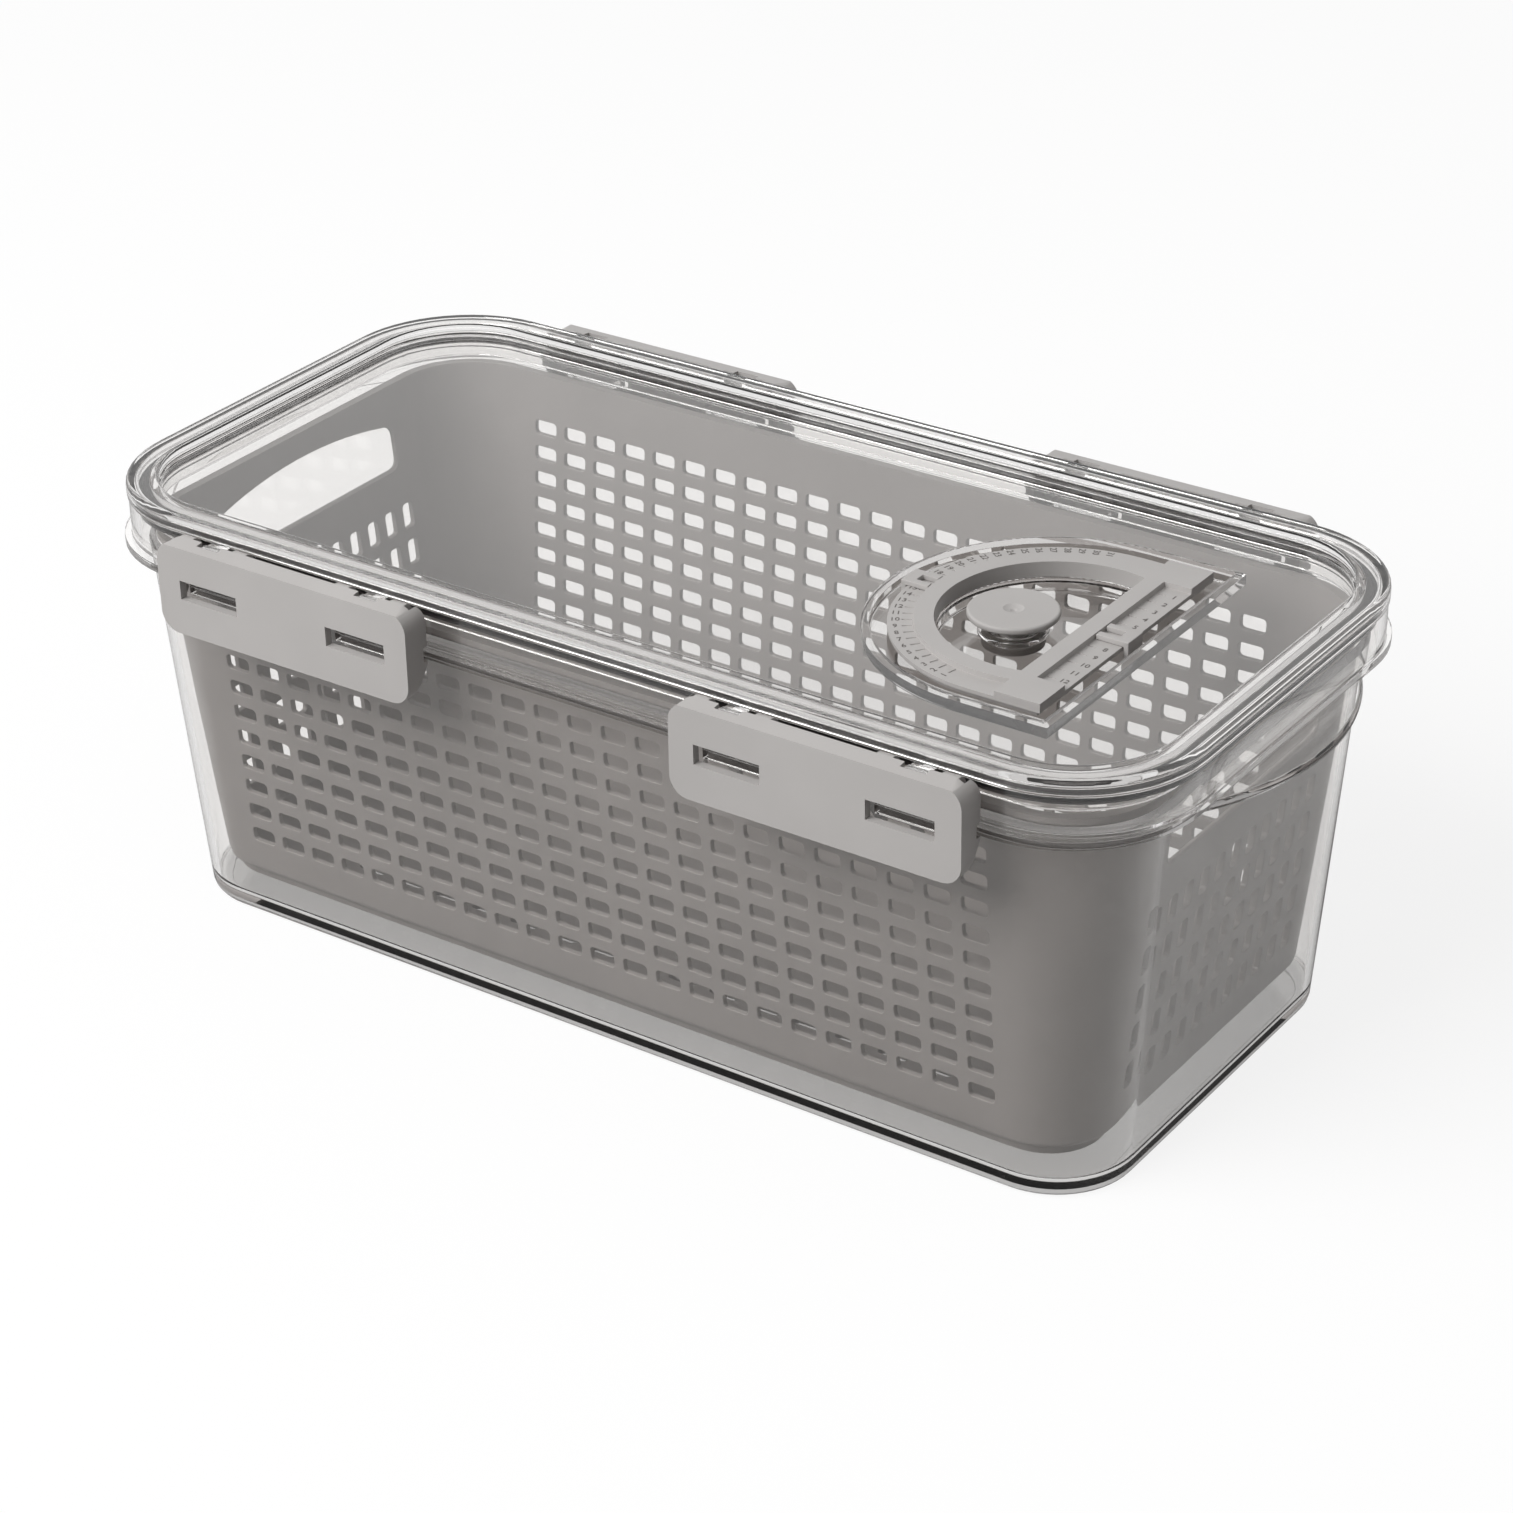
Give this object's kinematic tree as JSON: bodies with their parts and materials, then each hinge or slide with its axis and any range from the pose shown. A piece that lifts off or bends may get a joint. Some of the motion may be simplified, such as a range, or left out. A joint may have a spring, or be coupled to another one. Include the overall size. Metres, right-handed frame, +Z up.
{
  "type": "produce keeper",
  "caption": "Clear oblong food storage box with a gasketed snap-latch lid, a date dial with an air vent, and a lift-out perforated basket that stands above a drain space.",
  "frame": {"origin": "on the table, under the middle of the keeper", "axes": "+X along the keeper towards the end with the date dial, +Y towards its back, +Z up"},
  "size_m": [0.34, 0.1734, 0.1231],
  "materials": {
    "clear_shell": "clear, smooth and glossy",
    "clear_lid": "clear, smooth and glossy",
    "basket_plastic": "satin",
    "trim_plastic": "satin",
    "seal_rubber": "matte",
    "pin_steel": "satin"
  },
  "bodies": {
    "container": {"container": "clear_shell"},
    "basket": {"basket": "basket_plastic"},
    "lid": {"lid": "clear_lid", "lid_gasket": "seal_rubber", "date_dial_plate": "trim_plastic", "latch_pin_front_left": "pin_steel", "latch_pin_front_right": "pin_steel", "latch_pin_back_left": "pin_steel", "latch_pin_back_right": "pin_steel"},
    "day_pointer": {"day_pointer": "trim_plastic"},
    "month_pointer": {"month_pointer": "trim_plastic"},
    "vent": {"vent_knob": "trim_plastic", "vent_seal": "seal_rubber", "vent_clip": "trim_plastic"},
    "latch_front_left": {"latch_front_left": "trim_plastic"},
    "latch_front_right": {"latch_front_right": "trim_plastic"},
    "latch_back_left": {"latch_back_left": "trim_plastic"},
    "latch_back_right": {"latch_back_right": "trim_plastic"}
  },
  "joints": [
    {"name": "lid_lift", "type": "slide", "parent": "container", "child": "lid", "axis": [0, 0, 1], "range_m": [0, 0.25]},
    {"name": "basket_lift", "type": "slide", "parent": "container", "child": "basket", "axis": [0, 0, 1], "range_m": [0, 0.125]},
    {"name": "latch_front_left_swing", "type": "hinge", "parent": "lid", "child": "latch_front_left", "pos_m": [-0.081, -0.0814, 0.1178], "axis": [-1, 0, 0], "range_deg": [0, 100]},
    {"name": "latch_front_right_swing", "type": "hinge", "parent": "lid", "child": "latch_front_right", "pos_m": [0.081, -0.0814, 0.1178], "axis": [-1, 0, 0], "range_deg": [0, 100]},
    {"name": "latch_back_left_swing", "type": "hinge", "parent": "lid", "child": "latch_back_left", "pos_m": [-0.081, 0.0814, 0.1178], "axis": [1, 0, 0], "range_deg": [0, 100]},
    {"name": "latch_back_right_swing", "type": "hinge", "parent": "lid", "child": "latch_back_right", "pos_m": [0.081, 0.0814, 0.1178], "axis": [1, 0, 0], "range_deg": [0, 100]},
    {"name": "day_pointer_turn", "type": "hinge", "parent": "lid", "child": "day_pointer", "pos_m": [0.0956, 0, 0.1198], "axis": [0, 0, 1], "range_deg": [-78, 78]},
    {"name": "month_pointer_slide", "type": "slide", "parent": "lid", "child": "month_pointer", "axis": [0, 1, 0], "range_m": [-0.0265, 0.0265]},
    {"name": "vent_press", "type": "slide", "parent": "lid", "child": "vent", "axis": [0, 0, 1], "range_m": [-0.003, 0]}
  ],
  "couplings": [
    {"joint": "basket_lift", "follows": "lid_lift", "ratio": 0.5}
  ]
}
